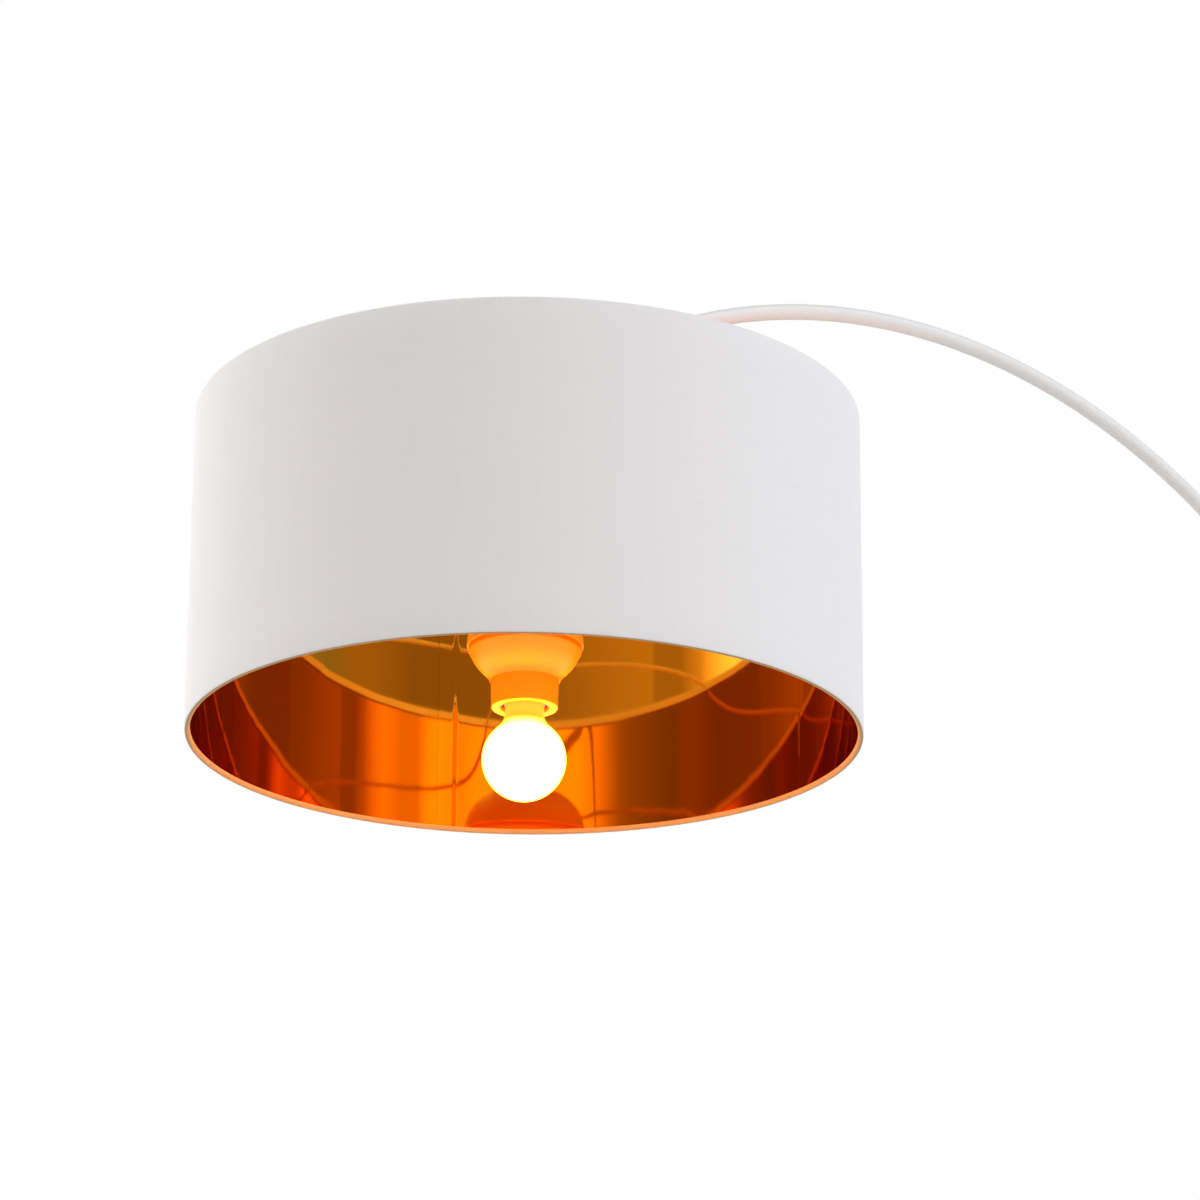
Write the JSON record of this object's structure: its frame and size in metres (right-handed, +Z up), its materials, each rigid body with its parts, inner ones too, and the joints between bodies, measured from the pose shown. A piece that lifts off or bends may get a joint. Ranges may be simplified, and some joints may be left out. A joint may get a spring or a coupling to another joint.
{
  "type": "arc floor lamp",
  "caption": "White arc floor lamp: weighted round base, slim pole, bent swivelling arm, and a tilting fabric drum shade lined with copper film over a round bulb.",
  "frame": {"origin": "centre of the base's underside, on the floor", "axes": "+Z up along the pole; the arm reaches towards -X at rest, and the cable inlet faces +X"},
  "size_m": [1.113, 0.4, 1.8],
  "materials": {
    "white_enamel": "smooth satin white powder coat",
    "zinc_plated_steel": "zinc plated",
    "black_oxide_screws": "black oxide",
    "knuckle_enamel": "satin white",
    "nickel_plate": "polished nickel plate",
    "brass_tube": "plain drawn brass",
    "cast_iron_weight": "as cast, black primer",
    "black_rubber": "matt",
    "white_pvc_cable": "smooth flexible PVC",
    "nylon_fittings": "natural nylon",
    "white_fabric": "fine off-white plain weave laminated on a stiff backing",
    "copper_film": "copper metallised film, near mirror",
    "white_holder_plastic": "moulded thermoplastic polyester",
    "porcelain": "steatite",
    "opal_glass": "opal, lit",
    "clear_glass": "clear",
    "aluminium_cap": "bright rolled",
    "black_cap_glass": "black glass",
    "solder": "dull solder",
    "tungsten": "drawn wire"
  },
  "bodies": {
    "base": {"base_pad": "black_rubber", "base_weight": "cast_iron_weight", "base_cover": "white_enamel", "base_collar": "white_enamel", "base_nipple": "brass_tube", "base_washer": "zinc_plated_steel", "base_nut": "zinc_plated_steel", "cable_gland": "nylon_fittings", "gland_nut": "nylon_fittings", "lower_pole": "white_enamel", "middle_pole": "white_enamel", "upper_pole": "white_enamel", "lower_pole_foot_insert": "zinc_plated_steel", "lower_pole_top_insert": "zinc_plated_steel", "middle_pole_foot_insert": "zinc_plated_steel", "middle_pole_top_insert": "zinc_plated_steel", "upper_pole_foot_insert": "zinc_plated_steel", "lower_joint_stud": "brass_tube", "upper_joint_stud": "brass_tube", "pole_cable": "white_pvc_cable", "arm_collar": "white_enamel", "collar_grub_screw": "black_oxide_screws", "arm_guide_bush": "nylon_fittings"},
    "thumbscrew": {"swivel_thumbscrew": "nickel_plate"},
    "arm": {"lower_arm": "white_enamel", "upper_arm": "white_enamel", "arm_joiner": "zinc_plated_steel", "joiner_screws": "black_oxide_screws", "stop_ring": "white_enamel", "stop_ring_screw": "black_oxide_screws", "arm_cable": "white_pvc_cable", "knuckle_upper": "knuckle_enamel", "knuckle_screw": "nickel_plate"},
    "knob": {"tilt_knob": "nickel_plate"},
    "head": {"knuckle_lower": "knuckle_enamel", "stem_rod": "brass_tube", "stem_sleeve": "white_enamel", "hub_nut": "zinc_plated_steel", "hub_washer": "zinc_plated_steel", "spider_hub": "white_enamel", "spider_arms": "white_enamel", "shade_top_ring": "white_enamel", "shade_bottom_ring": "white_enamel", "shade_fabric": "white_fabric", "shade_liner": "copper_film", "head_cable": "white_pvc_cable", "holder_cup": "white_holder_plastic", "holder_lock_nut": "zinc_plated_steel", "holder_body": "white_holder_plastic", "holder_ring": "white_holder_plastic", "holder_insert": "porcelain", "terminal_screws": "nickel_plate", "screw_shell": "brass_tube", "centre_contact": "brass_tube"},
    "bulb": {"bulb_glass": "opal_glass", "bulb_cap": "aluminium_cap", "bulb_insulator": "black_cap_glass", "bulb_contact": "solder", "bulb_stem": "clear_glass", "bulb_filament": "tungsten"}
  },
  "joints": [
    {"name": "arm_swivel", "type": "hinge", "parent": "base", "child": "arm", "pos_m": [0, 0, 1.29], "axis": [0, 0, 1], "range_deg": [-175, 175]},
    {"name": "thumbscrew_turn", "type": "hinge", "parent": "base", "child": "thumbscrew", "pos_m": [0.02, 0, 1.301], "axis": [1, 0, 0], "range_deg": [0, 270]},
    {"name": "head_tilt", "type": "hinge", "parent": "arm", "child": "head", "pos_m": [-0.76, 0, 1.67207], "axis": [0, 1, 0], "range_deg": [-25, 45]},
    {"name": "knob_turn", "type": "hinge", "parent": "arm", "child": "knob", "pos_m": [-0.76, 0.012, 1.67207], "axis": [0, 1, 0], "range_deg": [-270, 0]},
    {"name": "bulb_unscrew", "type": "hinge", "parent": "head", "child": "bulb", "pos_m": [-0.76, 0, 1.45907], "axis": [0, 0, 1], "range_deg": [-1440, 0]}
  ]
}
